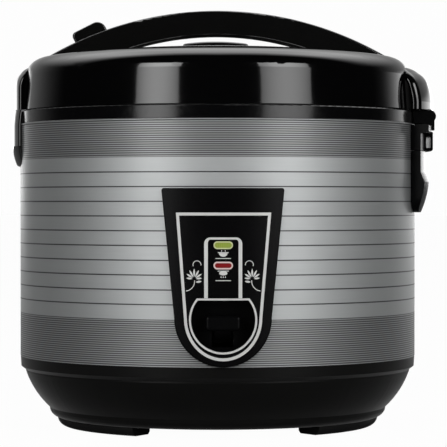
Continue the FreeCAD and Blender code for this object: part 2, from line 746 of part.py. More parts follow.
def make_lid():
    nothing = as_size(0)
    outside = carved("lid_outside", lid_solid("lid_form", nothing), finger_well("well_ball", nothing))
    inside = carved("lid_inside", lid_solid("lid_hollow", lid.wall), finger_well("well_back", lid.wall))
    vent_hole = rod("vent_hole", (0, vent.y, 215), vent.seat + 0.2, 60)
    stem_hole = tilted_bar("stem_hole", button.gap, -40, 20)
    finish(carved("lid_shell", outside, inside, vent_hole, stem_hole), "lid_outer")

    top = frame.foot + frame.thick
    disc = turned("frame_disc", [
        (0, frame.foot),
        (frame.lip_in, frame.foot),
        (frame.lip_in, frame.lip),
        (frame.lip_out, frame.lip),
        (frame.lip_out, frame.foot),
        (frame.radius, frame.foot),
        (frame.radius - 0.75, frame.foot + frame.rim),
        (frame.radius - 2.2, frame.foot + frame.rim),
        (frame.radius - 2.2, top),
        (0, top),
    ])
    half = hook.slot_wide / 2
    hook_gap = block("frame_hook_gap", (-140, -114), (-half, half), (190, 240))
    passage = rod("frame_vent", (0, vent.y, 190), vent.bore, 30)
    opened = carved("frame_opened", disc, hook_gap, passage)
    near = hook.cheek_in
    far = hook.cheek_in + hook.cheek
    long = (-121.6, -112)
    tall = (frame.foot + 0.5, hook.pivot_z + 3)
    cheek = block("hook_cheek_1", long, (-far, -near), tall)
    second_cheek = block("hook_cheek_2", long, (near, far), tall)
    pin_eye = rod("cheek_eye", (hook.pivot_x, -20, hook.pivot_z), hook.pin, 40, ALONG_Y)
    blank = merged("frame_blank", opened, cheek, second_cheek)
    finish(carved("frame_piece", blank, pin_eye), "lid_frame")

    def screw(name, x, y):
        return rod(name, (x, y, frame.foot - 1), 3, 1)

    finish(group("lid_screw_set", *round_about("lid_screw", 4, 116.5, 45, screw)), "lid_screws")

    finish(turned("seal_ring", [
        (seal.inner, tray.foot - 0.9),
        (seal.inner + 8, tray.foot - 0.9),
        (seal.outer - 2, seal.foot),
        (seal.outer, seal.foot + 1.2, 2, 1),
        (seal.outer - 3, frame.foot),
        (seal.inner, frame.foot),
        (seal.inner, tray.foot + tray.thick),
        (tray.radius, tray.foot + tray.thick),
        (tray.radius, tray.foot),
        (seal.inner, tray.foot),
    ]), "lid_seal")
    dish = turned("tray_pressed", [
        (7, tray.foot + 1),
        (70, tray.foot + 1),
        (74, tray.foot),
        (tray.radius, tray.foot),
        (tray.radius, tray.foot + tray.thick),
        (74.4, tray.foot + tray.thick),
        (70.4, tray.foot + 1 + tray.thick),
        (7, tray.foot + 1 + tray.thick),
    ])
    holes = round_about(
        "tray_hole", 6, 6, 0, lambda n, x, y: rod(n, (x, vent.y + y, 190), 1.8, 30),
    )
    finish(carved("tray_piece", dish, *holes), "inner_lid")
    finish(turned("stud_turned", [
        (0, tray.foot - 3),
        (9, tray.foot - 3),
        (10, tray.foot + 1, 6, 1),
        (7, tray.foot + 1),
        (7, tray.foot + 1 + tray.thick),
        (7, frame.foot),
        (0, frame.foot),
    ]), "inner_lid_stud")

    seat = turned("seat_turned", [
        (vent.bore, top),
        (vent.tube + 3, top),
        (vent.tube + 3, top + 1.5),
        (vent.tube, top + 1.5),
        (vent.tube, vent.seat_z - 4),
        (vent.seat, vent.seat_z - 4),
        (vent.seat, vent.seat_z),
        (vent.bore, vent.seat_z),
    ])
    bind(seat, "Placement.Base.y", vent.y)
    finish(seat, "steam_seat")
    cap = turned("cap_turned", [
        (0, vent.top - 2.4),
        (vent.bore - 2, vent.top - 2.4),
        (vent.bore - 2, vent.seat_z - 14),
        (vent.bore - 0.35, vent.seat_z - 14),
        (vent.bore - 0.35, vent.cap_z),
        (vent.cap, vent.cap_z),
        (vent.cap, vent.top - vent.drop - vent.shoulder),
        (vent.cap - vent.shoulder, vent.top - vent.drop, vent.shoulder, 1),
        (vent.crown, vent.top, vent.crown_bend, 1),
        (0, vent.top),
    ])
    slots = []
    for step in range(6):
        turn = Rotation(Vector(0, 0, 1), 60 * step)
        name = f"steam_slot_{step + 1}"
        slots.append(block(name, (5, 11), (-1.2, 1.2), (-10, 10), turn, (0, 0, vent.top)))
    cap_piece = carved("cap_piece", cap, *slots)
    bind(cap_piece, "Placement.Base.y", vent.y)
    finish(cap_piece, "steam_cap")


def tilted_bar(name, gap, low, high):
    """The button's stem, or the clear way for it, in the button's tilted direction."""
    turn = Rotation(Vector(0, 1, 0), button.tilt.value)
    half = button.stem / 2 + gap
    wide = button.stem_wide / 2 + gap
    return block(
        name, (button.stem_at - half, button.stem_at + half), (-wide, wide), (low, high), turn,
        (button.x, 0, button.z),
    )


def button_bar(name, gap, low, high):
    turn = Rotation(Vector(0, 1, 0), button.tilt.value)
    half = button.length / 2 + gap
    wide = button.width / 2 + gap
    return block(name, (-half, half), (-wide, wide), (low, high), turn, (button.x, 0, button.z))


def arc_rise(bend, reach):
    """How high a circle of a given radius stands at a sideways distance from its centre."""
    bend = as_size(bend)
    reach = as_size(reach)
    value = math.sqrt(bend.value ** 2 - reach.value ** 2)
    return Size(value, f"sqrt({bend.text} * {bend.text} - {reach.text} * {reach.text})")


def make_handle():
    over = handle.top - handle.bend
    under = handle.under_top - handle.under
    tip = over + arc_rise(handle.bend, handle.reach)
    spring = under + arc_rise(handle.under, handle.grip)
    arch = across("handle_arch", "XZ_Plane", [
        (handle.reach, handle.low),
        (handle.reach, tip),
        (-handle.reach, tip, handle.bend, 1),
        (-handle.reach, handle.low),
        (-handle.grip, handle.low),
        (-handle.grip, spring),
        (handle.grip, spring, handle.under, -1),
        (handle.grip, handle.low),
    ], handle.width)
    half = handle.width.value / 2

    def top_edge(edge):
        middle = edge.CenterOfMass
        return middle.z > 252 and abs(abs(middle.y) - half) < 0.01

    soften(arch, handle.round, top_edge)
    core_reach = handle.reach - 7
    core_bend = handle.bend - handle.wall
    core_tip = over + arc_rise(core_bend, core_reach)
    core = across("handle_core", "XZ_Plane", [
        (core_reach, handle.low - 5),
        (core_reach, core_tip),
        (-core_reach, core_tip, core_bend, 1),
        (-core_reach, handle.low - 5),
    ], handle.width - handle.wall * 2)
    dome = lid_solid("handle_seat_form", as_size(0))
    way = button_bar("button_way", button.gap, -20, 20)
    finish(carved("handle_shell", arch, core, dome, way), "handle_cover")

    skin_bend = handle.under + handle.skin
    skin_spring = under + arc_rise(skin_bend, handle.grip)
    strip = across("handle_strip", "XZ_Plane", [
        (handle.grip, spring, handle.under, -1),
        (handle.grip, skin_spring),
        (-handle.grip, skin_spring, skin_bend, 1),
        (-handle.grip, spring),
    ], handle.width - handle.wall * 2 - 0.2)
    seat = lid_solid("underside_seat_form", as_size(0))
    finish(carved("handle_under_piece", strip, seat), "handle_underside")


def on_side_plane(edge, least):
    """True for an edge that lies in one of a sector's end planes, outside a given radius."""
    ways = [math.atan2(v.Point.y, v.Point.x) for v in edge.Vertexes]
    if len(ways) < 2:
        return False
    apart = abs(math.sin(ways[0] - ways[1]))
    middle = edge.CenterOfMass
    return apart < 1e-4 and math.hypot(middle.x, middle.y) > least


def at_height(edge, height):
    return abs(edge.CenterOfMass.z - height.value) < 0.01


def make_latch():
    plan = latch.lid_plan
    crest = turned("latch_crest", [
        (latch.root - plan, lid.foot),
        (latch.lid_r - plan, lid.foot),
        (latch.lid_r - plan, latch.lid_knee),
        (latch.lid_brow - plan, latch.lid_brow_z, 16, 1),
        (latch.lid_top - plan, latch.lid_top_z, 9, 1),
        (latch.root - plan, latch.lid_top_z),
    ], latch.lid_span)
    soften(crest, latch.round, lambda e: on_side_plane(e, 59) and e.BoundBox.ZLength > 1)
    place_at(crest, -plan, 0, 0, HALF_TURN)
    seat = lid_solid("latch_seat_form", as_size(0))
    finish(carved("latch_crest_piece", crest, seat), "latch_cover")

    plan = latch.low_plan
    chin = turned("keeper_turned", [
        (latch.root - plan, latch.low_z),
        (shell.radius + 0.8 - plan, latch.low_z),
        (latch.low_chin - plan, latch.low_chin_z, 2.5, 1),
        (latch.low_r - plan, latch.low_knee, 40, 1),
        (latch.low_r - plan, 193),
        (latch.lid_r + 0.2 - plan, latch.low_top, 70, 1),
        (latch.root - plan, latch.low_top),
    ], latch.low_span)
    soften(chin, latch.round, lambda e: on_side_plane(e, 50) and e.BoundBox.ZLength > 1)
    place_at(chin, -plan, 0, 0, HALF_TURN)
    on_shell = shell.radius + fit.seat
    on_bead = shell.radius + shell.bead + fit.seat
    on_collar = collar.radius + fit.seat
    body_form = turned("keeper_seat_form", [
        (0, latch.low_z - 10),
        (on_shell, latch.low_z - 10),
        (on_shell, shell.top - 1.8),
        (on_bead, shell.top - 1.8),
        (on_bead, collar.foot),
        (on_collar, collar.foot),
        (on_collar, latch.low_top + 5),
        (0, latch.low_top + 5),
    ])
    finish(carved("keeper_piece", chin, body_form), "latch_keeper")

    plan = across("hook_plan", "XZ_Plane", [
        (hook.shank_out, hook.nose_low),
        (hook.nose - 1.6, hook.nose_low),
        (hook.nose, hook.nose_low + 1.6),
        (hook.nose, hook.nose_high),
        (hook.shank_in, hook.nose_high),
        (hook.shank_in, hook.pivot_z - 4),
        (hook.pivot_x + 5, hook.pivot_z - 1),
        (hook.pad_x, hook.pad_z - 3),
        (hook.arm_x, hook.pad_z - 3),
        (hook.arm_x, hook.pad_z),
        (hook.pad_x, hook.pad_z),
        (hook.pivot_x + 3, hook.pivot_z + 3),
        (hook.shank_out + 0.6, hook.pivot_z),
    ], hook.wide)
    boss = rod("hook_boss", (hook.pivot_x, -hook.wide / 2, hook.pivot_z), hook.boss, hook.wide, ALONG_Y)
    eye = rod("hook_eye", (hook.pivot_x, -20, hook.pivot_z), hook.bore, 40, ALONG_Y)
    finish(carved("hook_piece", merged("hook_blank", plan, boss), eye), "latch_hook")
    finish(rod("hook_bar", (hook.pivot_x, -9.4, hook.pivot_z), hook.pin, 18.8, ALONG_Y), "latch_pin")


def make_button():
    half = button.length / 2
    cap = across("button_cap", "XZ_Plane", [
        (-half, -button.deep),
        (half, -button.deep),
        (half, button.proud - button.high_round),
        (half - button.high_round, button.proud, button.high_round, 1),
        (-half + button.low_round, button.proud),
        (-half, button.proud - button.low_round, button.low_round, 1),
    ], button.width)
    side = button.width.value / 2

    def on_side(edge):
        middle = edge.CenterOfMass
        return middle.z > -button.deep.value + 0.1 and abs(abs(middle.y) - side) < 0.01

    soften(cap, button.round, on_side)
    place_at(cap, button.x, 0, button.z, Rotation(Vector(0, 1, 0), button.tilt.value))
    stem = tilted_bar("button_stem", 0, button.stem_end, 0)
    finish(merged("button_piece", cap, stem), "release_button")


def make_hinge():
    flange = turned("hinge_flange", [
        (shell.radius + 0.6, hinge.flange_low),
        (hinge.flange_r - 1, hinge.flange_low),
        (hinge.flange_r, hinge.flange_low + 1),
        (hinge.flange_r, hinge.flange_top - 1),
        (hinge.flange_r - 1, hinge.flange_top, 1, 1),
        (shell.radius + 0.6, hinge.flange_top),
    ], hinge.block_span)
    back = turned("hinge_back", [
        (shell.radius + fit.seat, hinge.tab_low),
        (hinge.plate_r, hinge.tab_low),
        (hinge.plate_r, hinge.flange_low + 1),
        (shell.radius + fit.seat, hinge.flange_low + 1),
    ], hinge.block_span)
    tab = turned("hinge_tab", [
        (hinge.plate_r - 1, hinge.tab_low),
        (hinge.tab_r - 1.5, hinge.tab_low),
        (hinge.tab_r, hinge.tab_low + 1.5, 1.5, 1),
        (hinge.tab_r, hinge.flange_low + 1),
        (hinge.plate_r - 1, hinge.flange_low + 1),
    ], 16.5)
    pocket = turned("hinge_pocket", [
        (hinge.plate_r + 0.8, hinge.tab_low + 2),
        (hinge.tab_r - 1.4, hinge.tab_low + 2),
        (hinge.tab_r - 1.4, hinge.flange_low - 1.2),
        (hinge.plate_r + 0.8, hinge.flange_low - 1.2),
    ], 18)
    tongue = turned("hinge_tongue", [
        (cup.tongue_in, cup.tongue_low),
        (cup.tongue_out, cup.tongue_low),
        (cup.tongue_out, hinge.tab_low + 1),
        (cup.tongue_in, hinge.tab_low + 1),
    ], 20)
    near = hinge.lid_half + hinge.gap
    far = near + hinge.ear
    ears = []
    for side, wide in (("front", (-far, -near)), ("rear", (near, far))):
        ears += [
            block(f"{side}_web", (hinge.x - 4, hinge.x + 3), wide, (190, hinge.z)),
            block(f"{side}_shelf", (hinge.arm_in, hinge.x), wide, (hinge.z - 4.6, hinge.shelf)),
            rod(f"{side}_barrel", (hinge.x, wide[0], hinge.z), hinge.barrel, hinge.ear, ALONG_Y),
        ]
    reach = far - hinge.cap
    bore = rod("hinge_bore", (hinge.x, -reach, hinge.z), hinge.pin, reach * 2, ALONG_Y)
    clear = shell.radius + shell.bead + fit.snug
    collar_room = rod("hinge_collar_room", (0, 0, hinge.flange_low + 1), clear, 30)
    blank = merged("hinge_blank", flange, back, tab, tongue, *ears)
    finish(carved("hinge_block_piece", blank, bore, pocket, collar_room), "hinge_block")
    finish(rod("hinge_bar", (hinge.x, -reach, hinge.z), hinge.pin, reach * 2, ALONG_Y), "hinge_pin")

    plan = hinge.plan_x
    cover = turned("cover_turned", [
        (hinge.root - plan, lid.foot),
        (hinge.cover_r - plan, lid.foot),
        (hinge.cover_r - plan, hinge.cover_z),
        (hinge.knee_r - plan, hinge.knee_z, 45, 1),
        (hinge.brow_r - plan, hinge.brow_z, 14, 1),
        (hinge.crest_r - plan, hinge.crest_z, 16, 1),
        (hinge.root - plan, hinge.crest_z),
    ], hinge.cover_span)
    soften(cover, hinge.round, lambda e: on_side_plane(e, 67) and e.BoundBox.ZLength > 2)
    place_at(cover, plan, 0, 0)
    inside = hinge.cover_r - hinge.wall - plan
    hollow = turned("cover_hollow", [
        (hinge.root - 6 - plan, lid.foot - 10),
        (inside, lid.foot - 10),
        (inside, hinge.cover_z),
        (hinge.knee_r - 2.4 - plan, hinge.knee_z - 1, 42, 1),
        (hinge.brow_r - 1.7 - plan, hinge.brow_z - 2, 12, 1),
        (hinge.root - 6 - plan, hinge.brow_z),
    ], hinge.cover_span - 4.4)
    place_at(hollow, plan, 0, 0)
    dome = lid_solid("cover_seat_form", as_size(0))
    relief = rod("cover_relief", (hinge.x, -45, hinge.z), hinge.relief, 90, ALONG_Y)
    finish(carved("cover_piece", cover, hollow, dome, relief), "hinge_cover")

    half = hinge.lid_half
    arm = block("arm_block", (hinge.arm_in, hinge.arm_out), (-half, half), (lid.foot + 0.5, hinge.arm_top))
    neck = block("arm_neck", (hinge.arm_out - 2.5, hinge.arm_out), (-half, half), (hinge.z, lid.foot + 3))
    barrel = rod("arm_barrel", (hinge.x, -half, hinge.z), hinge.barrel, half * 2, ALONG_Y)
    eye = rod("arm_eye", (hinge.x, -60, hinge.z), hinge.bore, 120, ALONG_Y)
    seat_form = lid_solid("arm_seat_form", as_size(0))
    finish(carved("arm_piece", merged("arm_blank", arm, neck, barrel), eye, seat_form), "hinge_arm")

    body = turned("cup_turned", [
        (cup.back, cup.foot_z),
        (cup.foot_r, cup.foot_z),
        (cup.lip_r, cup.lip_z, cup.belly, 1),
        (cup.neck_r, cup.neck_z),
        (cup.neck_r, cup.top),
        (cup.back, cup.top),
    ], cup.span)
    soften(body, cup.round, lambda e: on_side_plane(e, 100) and at_height(e, cup.foot_z))
    floor = cup.foot_z + 3
    room = turned("cup_room", [
        (cup.back + cup.wall, floor),
        (cup.foot_r - 0.6, floor),
        (cup.lip_r - cup.wall, cup.lip_z, cup.belly, 1),
        (cup.neck_r - cup.wall, cup.neck_z - 0.6),
        (cup.neck_r - cup.wall, cup.top + 4),
        (cup.back + cup.wall, cup.top + 4),
    ], cup.span - 2.4)
    soften(room, cup.round - 2, lambda e: on_side_plane(e, 100) and at_height(e, floor))
    finish(carved("cup_piece", body, room), "dew_collector")


def report_and_write():
    os.makedirs("parts", exist_ok=True)
    doc.recompute()
    for thing in doc.Objects:
        if "Invalid" in thing.State or "Error" in thing.State:
            raise RuntimeError(f"{thing.Name} did not build: {thing.State}")
    for thing in nodes:
        shape = thing.Shape
        if shape.isNull() or not shape.isValid() or not shape.Solids:
            raise RuntimeError(f"{thing.Label} has no valid solid")
        shape.exportStep(f"parts/{thing.Label}.step")
        print(f"{thing.Label}: {len(shape.Solids)} solid(s), {shape.Volume / 1000:.2f} cm3")


make_base()
make_body()
make_heater()
make_switch()
make_panel()
make_lid()
make_handle()
make_latch()
make_button()
make_hinge()
report_and_write()
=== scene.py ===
# %% [markdown]
# # A domed-lid rice cooker
# The engineering model already holds every moulding, pressing and joint of the cooker. This lesson
# gives those pieces their finishes, prints the marks on the front panel, and sets up a small photo
# studio. The model comes in as a fixed frame, so nothing here moves or reshapes a piece.

# %% Load the frame
import json
import math

import bmesh
import bpy
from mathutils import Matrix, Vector


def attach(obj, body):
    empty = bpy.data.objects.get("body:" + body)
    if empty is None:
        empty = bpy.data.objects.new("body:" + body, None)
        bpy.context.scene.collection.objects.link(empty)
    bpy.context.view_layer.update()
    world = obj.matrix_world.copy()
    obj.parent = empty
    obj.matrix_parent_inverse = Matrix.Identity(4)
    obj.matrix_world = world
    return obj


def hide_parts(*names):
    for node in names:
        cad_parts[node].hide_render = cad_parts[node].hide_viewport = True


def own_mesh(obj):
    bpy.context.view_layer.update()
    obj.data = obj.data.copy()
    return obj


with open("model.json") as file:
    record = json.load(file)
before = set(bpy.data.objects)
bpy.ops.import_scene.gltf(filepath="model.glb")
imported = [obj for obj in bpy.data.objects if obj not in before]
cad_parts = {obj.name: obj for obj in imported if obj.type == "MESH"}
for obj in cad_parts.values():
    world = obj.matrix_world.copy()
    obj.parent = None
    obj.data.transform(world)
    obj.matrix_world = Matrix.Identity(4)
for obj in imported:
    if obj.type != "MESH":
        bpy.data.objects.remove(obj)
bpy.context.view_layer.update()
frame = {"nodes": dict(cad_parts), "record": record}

nodes = frame["nodes"]

# %% [markdown]
# ## Where the axis is
# The frame's origin lies under the middle of the whole cooker, and the hinge sticks out further
# than the latch. The pot's axis is therefore a little to the latch side, and all the prints are
# measured from it, in millimetres, as a maker would on the drawing.

# %% Millimetres from the pot's axis
MM = 0.001
AXIS_X = -3.55
PANEL_R = 131.0
INK_PROUD = 0.07


def on_panel(across, height):
    """A point just off the control panel's curved face, from its place on a flat drawing."""
    radius = PANEL_R + INK_PROUD
    depth = math.sqrt(radius ** 2 - across ** 2)
    return Vector((AXIS_X + across, -depth, height)) * MM


print("panel face at", on_panel(0, 100))

# %% [markdown]
# ## Writing shader maths as sums
# A finish is a small program, and a program is easier to read as sums than as a web of nodes. The
# class below wraps one socket. Adding or multiplying two of them makes the Math node that does it.

# %% A socket that can be used in sums
class Amount:
    def __init__(self, recipe, socket):
        self.recipe = recipe
        self.socket = socket

    def math(self, operation, *others):
        values = dict(enumerate((self, *others)))
        return self.recipe.node("ShaderNodeMath", {"operation": operation}, values)

    def __add__(self, other):
        return self.math("ADD", other)

    def __sub__(self, other):
        return self.math("SUBTRACT", other)

    def __mul__(self, other):
        return self.math("MULTIPLY", other)

    def __truediv__(self, other):
        return self.math("DIVIDE", other)

    def __rsub__(self, other):
        return self.recipe.node("ShaderNodeMath", {"operation": "SUBTRACT"}, {0: other, 1: self})

    __radd__ = __add__
    __rmul__ = __mul__

    def below(self, edge, soft):
        """1 where this is under the edge, 0 above it, with a soft step between."""
        limits = {0: self, 1: edge - soft, 2: edge + soft, 3: 1.0, 4: 0.0}
        return self.recipe.node("ShaderNodeMapRange", {"interpolation_type": "SMOOTHSTEP"}, limits)

    def above(self, edge, soft):
        """0 where this is under the edge and 1 above it."""
        return 1 - self.below(edge, soft)

    def waves(self, pitch):
        """Swings between 0 and 1, once in every pitch."""
        return (self * (2 * math.pi / pitch)).math("SINE") * 0.5 + 0.5


print("sockets can be added, multiplied and stepped")

# %% [markdown]
# ## Recipes and finishes
# Materials, lamps and the room all keep their nodes in a tree, so one class serves all three. Its
# node method adds any node. A finish is the recipe of a material: it knows the main shader's
# sockets by name, and it measures in millimetres on the piece itself.

# %% A recipe: one node tree and a way to add to it
class Recipe:
    def __init__(self, tree):
        self.tree = tree

    def node(self, kind, settings=None, sockets=None, out=0):
        """Any node: its type, its settings, then what goes into its sockets."""
        made = self.tree.nodes.new(kind)
        for name, value in (settings or {}).items():
            setattr(made, name, value)
        for key, value in (sockets or {}).items():
            self.feed(made.inputs[key], value)
        return Amount(self, made.outputs[out])

    def feed(self, socket, value):
        if isinstance(value, Amount):
            self.tree.links.new(value.socket, socket)
        else:
            socket.default_value = value

    def split(self, vector):
        """The three parts of a vector, as three amounts."""
        return [self.node("ShaderNodeSeparateXYZ", None, {0: vector}, axis) for axis in range(3)]

    def light_path(self, *kinds):
        """1 for rays of these kinds, 0 for all others."""
        rays = [self.node("ShaderNodeLightPath", None, None, f"Is {kind} Ray") for kind in kinds]
        any_ray = rays[0]
        for ray in rays[1:]:
            any_ray = any_ray.math("MAXIMUM", ray)
        return any_ray


print("a recipe can hold any node")


# %% A finish: the recipe of one material
class Finish(Recipe):
    def __init__(self, name, **constants):
        self.material = bpy.data.materials.new(name)
        self.material.use_nodes = True
        super().__init__(self.material.node_tree)
        self.shader = self.tree.nodes["Principled BSDF"]
        self.set(**constants)

    def set(self, **sockets):
        """Feed sockets of the main shader, written as base_color or coat_weight."""
        for name, value in sockets.items():
            title = name.replace("_", " ").title().replace("Ior", "IOR")
            self.feed(self.shader.inputs[title], value)
        return self

    def on_piece(self):
        """The place on the piece, in its own coordinates."""
        return self.node("ShaderNodeTexCoord", out="Object")

    def place(self):
        """The same place in millimetres, as three amounts."""
        return [amount / MM for amount in self.split(self.on_piece())]

    def noise(self, size_mm, detail=3.0, stretch=(1, 1, 1)):
        """A cloudy value around one half whose lumps are about so many millimetres across."""
        scale = [1 / MM / size_mm / s for s in stretch]
        grown = self.node("ShaderNodeMapping", None, {0: self.on_piece(), 3: scale})
        clouds = {"Vector": grown, "Scale": 1.0, "Detail": detail}
        return self.node("ShaderNodeTexNoise", None, clouds)

    def blend(self, factor, low, high):
        """A colour between two colours."""
        colours = {0: factor, 6: low, 7: high}
        return self.node("ShaderNodeMix", {"data_type": "RGBA"}, colours, out=2)

    def bumps(self, height, depth_mm):
        """Let a height in this finish catch the light, as a relief of so many millimetres."""
        relief = {"Strength": 1.0, "Distance": depth_mm * MM, "Height": height}
        return self.set(normal=self.node("ShaderNodeBump", None, relief))


print("finishes are ready to be mixed")

# %% [markdown]
# ## Black plastic
# The lid and the handle are moulded in a polished tool. Such plastic is nearly black and very
# smooth, but never perfect: the skin has a faint long wave where the melt shrank, and hands leave
# slightly duller patches. Base, feet, collar, panel and grip are satin instead: a fine grain from
# the tool breaks the reflections up. Two functions make both families, so each piece only needs
# its own colour, roughness and grain.

# %% Polished and satin plastic
PLASTIC_IOR = 1.49
SKIN_WAVE_MM, SKIN_WAVE_DEPTH = 9, 0.006
GRAIN_DEPTH = 0.02


def shade(colour, factor):
    """The same colour, lighter or darker."""
    return [c * factor for c in colour[:3]] + [1.0]


def polished_plastic(name, colour, gloss):
    finish = Finish(name, ior=PLASTIC_IOR)
    patches = finish.noise(46, 4)
    finish.set(
        base_color=finish.blend(patches, colour, shade(colour, 1.5)),
        roughness=patches * 0.05 + gloss,
    )
    return finish.bumps(finish.noise(SKIN_WAVE_MM, 2), SKIN_WAVE_DEPTH)


def satin_plastic(name, colour, rough, grain_mm, shine=0.5):
    finish = Finish(name, ior=PLASTIC_IOR, specular_ior_level=shine)
    grain = finish.noise(grain_mm, 2)
    finish.set(
        base_color=finish.blend(finish.noise(30), colour, shade(colour, 1.35)),
        roughness=grain * 0.14 + rough,
    )
    return finish.bumps(grain, GRAIN_DEPTH)


black_gloss = polished_plastic("polished_black", (0.0008, 0.0008, 0.0009, 1), 0.05)
black_handle = polished_plastic("handle_black", (0.0027, 0.0027, 0.0026, 1), 0.09)
black_satin = satin_plastic("satin_black", (0.0028, 0.0028, 0.0026, 1), 0.26, 0.7, 0.13)
black_satin.set(sheen_weight=0.3, sheen_roughness=0.3)
black_grip = satin_plastic("grip_black", (0.0014, 0.0014, 0.0014, 1), 0.5, 0.8, 0.01)
black_foot = satin_plastic("foot_black", (0.003, 0.003, 0.003, 1), 0.5, 0.5, 0.22)
black_film = satin_plastic("panel_film", (0.0016, 0.0016, 0.0018, 1), 0.22, 0.5, 0.07)
black_collar = satin_plastic("collar_black", (0.0016, 0.0016, 0.0018, 1), 0.08, 3.0, 0.3)
print("two polished blacks and five satin ones")

# %% [markdown]
# ## The printed steel body
# The body is rolled from sheet that was printed while flat: a silver ground, ten thin lines round
# the middle, and a dense band of fine stripes above and below. The height above the floor is all
# that the pattern needs, so it is worked out from that one number. A rolled sheet also has a faint
# grain that runs round the body, which widens its highlights sideways, and a clear coat over all.

# %% Lines and stripes from the height
BAND_LOW, BAND_HIGH = 73.6, 171.0
LINE_PITCH, LINE_WIDTH = 8.85, 0.75
STRIPE_PITCH, STRIPE_HALF, STRIPE_INK = 1.3, 0.36, 0.87


def thin_lines(height):
    """1 on the thin lines round the middle of the body, 0 between them."""
    between = ((BAND_HIGH - height) / LINE_PITCH).math("FRACT")
    from_line = 0.5 - (between - 0.5).math("ABSOLUTE")
    margin = LINE_PITCH / 2
    middle = height.below(BAND_HIGH - margin, 0.1) * height.above(BAND_LOW + margin, 0.1)
    return (from_line * LINE_PITCH).below(LINE_WIDTH / 2, 0.12) * middle


def fine_stripes(height):
    """The stripes of the two dense bands, whose ink is a little paler than the lines'."""
    ripple = ((height / STRIPE_PITCH).math("FRACT") - 0.5).math("ABSOLUTE")
    outside = 1 - height.below(BAND_HIGH, 0.05) * height.above(BAND_LOW, 0.05)
    return ripple.below(STRIPE_HALF, 0.06) * outside * STRIPE_INK


print("stripes every", STRIPE_PITCH, "mm, lines every", LINE_PITCH, "mm")

# %% Silver sheet with its print
SILVER_DULL, SILVER_CLEAR = (0.436, 0.448, 0.449, 1), (0.464, 0.478, 0.480, 1)
DARK_INK = (0.02, 0.02, 0.021, 1)
ROLLED_GRAIN = (26, 26, 0.35)


def printed_steel():
    finish = Finish("printed_steel", ior=1.5, coat_weight=0.5, coat_roughness=0.3, coat_ior=1.5)
    height = finish.place()[2]
    ink = thin_lines(height).math("MAXIMUM", fine_stripes(height))
    grain = finish.noise(1.1, 3, ROLLED_GRAIN)
    silver = finish.blend(finish.noise(34, 4), SILVER_DULL, SILVER_CLEAR)
    finish.set(
        base_color=finish.blend(ink, silver, DARK_INK),
        metallic=1 - ink * 0.6,
        roughness=grain * 0.14 + 0.53,
    )
    return finish.bumps(grain, 0.006)


body_print = printed_steel()
print("the body's sheet has", len(body_print.tree.nodes), "nodes")

# %% [markdown]
# ## Bare metals
# Spun and drawn aluminium carries rings from the tool, so its grain depends on the distance from
# the axis. Zinc plate and cast pieces show a finer, cloudier grain instead.

# %% Spun, plated and cast metal
WALL_RINGS = 0.8


def spun_metal(name, colour, rough, ring_mm):
    finish = Finish(name, metallic=1.0)
    x, y, z = finish.place()
    radius = ((x - AXIS_X) * (x - AXIS_X) + y * y).math("SQRT")
    rings = (radius + z * WALL_RINGS).waves(ring_mm)
    clouds = finish.noise(18, 4)
    finish.set(
        base_color=finish.blend(clouds, shade(colour, 0.88), colour),
        roughness=rings * 0.10 + clouds * 0.08 + rough,
    )
    return finish.bumps(rings, 0.012)


def plain_metal(name, colour, rough, grain_mm, metallic=1.0):
    finish = Finish(name, metallic=metallic)
    grain = finish.noise(grain_mm, 4)
    finish.set(
        base_color=finish.blend(grain, shade(colour, 0.8), colour),
        roughness=grain * 0.2 + rough,
    )
    return finish.bumps(grain, 0.015)


bare_aluminium = spun_metal("bare_aluminium", (0.80, 0.80, 0.81, 1), 0.22, 1.6)
pot_aluminium = spun_metal("pot_aluminium", (0.74, 0.74, 0.75, 1), 0.28, 2.2)
cast_aluminium = plain_metal("cast_aluminium", (0.68, 0.68, 0.69, 1), 0.36, 1.4)
zinc_steel = plain_metal("zinc_steel", (0.66, 0.67, 0.69, 1), 0.24, 3.0)
brass_pin = plain_metal("brass_pin", (0.80, 0.64, 0.36, 1), 0.2, 1.2)
ferrite = plain_metal("ferrite", (0.10, 0.10, 0.11, 1), 0.45, 0.6, 0.4)
print("two spun metals and four plain ones")

# %% [markdown]
# ## Small parts inside
# Board, switch, fuse and seals are only seen with the cooker open, yet each has its own stuff:
# brown phenolic, white ceramic, mica, glass and milky silicone rubber. Most of them are satin like
# the plastics above, so the same function serves, and only the glass lets light through.

# %% Phenolic, ceramic, mica, silicone and glass
brown_phenolic = satin_plastic("brown_phenolic", (0.13, 0.065, 0.032, 1), 0.42, 0.9)
white_ceramic = satin_plastic("white_ceramic", (0.62, 0.60, 0.56, 1), 0.36, 1.1)
mica_band = satin_plastic("mica_band", (0.42, 0.36, 0.26, 1), 0.3, 2.4)
silicone = satin_plastic("silicone", (0.55, 0.55, 0.54, 1), 0.44, 1.6)
silicone.set(subsurface_weight=0.2, subsurface_scale=0.002)

SMOKED, CLEAR = (0.9, 0.84, 0.76, 1), (1, 0.95, 0.9, 1)
lamp_glass = Finish("lamp_glass", ior=1.5, transmission_weight=0.9)
lamp_glass.set(
    base_color=lamp_glass.blend(lamp_glass.noise(2), SMOKED, CLEAR),
    roughness=lamp_glass.noise(1.5) * 0.1 + 0.02,
)
print("inner finishes done")

# %% [markdown]
# ## Lamp lenses
# Each lens is a pill of tinted plastic. Its rim is thinner and catches the light, so it looks paler
# than the middle; that pale rim colour is partly the thinner tint and partly a painted highlight.
# The distance from the pill's edge, worked out from the drawing, tells the two apart. Small ribs
# across the back spread the lamp's light.

# %% Tinted lenses
WARM_Z, COOK_Z = 118.3, 106.2
LENS_HALF, LENS_R = 3.5, 2.3
RIB_PITCH = 1.1
